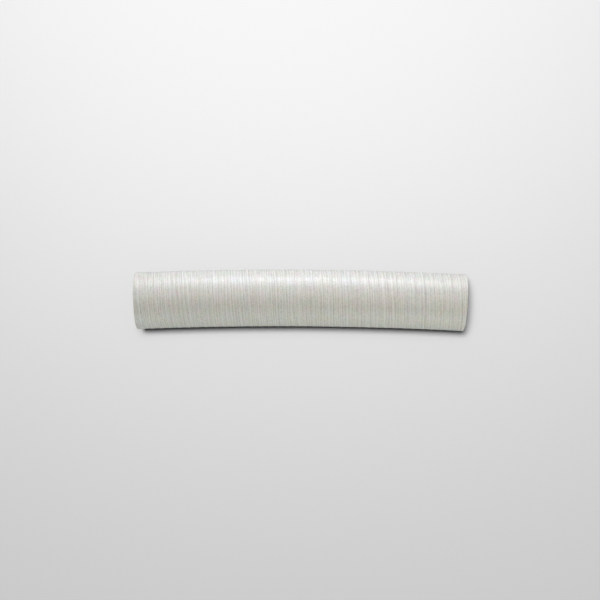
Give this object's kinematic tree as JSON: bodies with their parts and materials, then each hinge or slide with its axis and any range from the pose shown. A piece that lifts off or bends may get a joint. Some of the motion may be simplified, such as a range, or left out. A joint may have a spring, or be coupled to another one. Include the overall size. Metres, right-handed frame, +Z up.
{
  "type": "flexible pvc hose",
  "caption": "Short length of round flexible PVC hose with a smooth bore and shallow helical ribs, slightly bent, with square-cut open ends.",
  "frame": {"origin": "middle of the bottom of the hose's bounding box, on the level surface that it lies on", "axes": "+X along the hose, +Y towards the outside of its bend, +Z up"},
  "size_m": [0.2902, 0.0534, 0.05],
  "materials": {
    "hose_pvc": "satin"
  },
  "bodies": {
    "root": {"hose": "hose_pvc"}
  },
  "joints": []
}
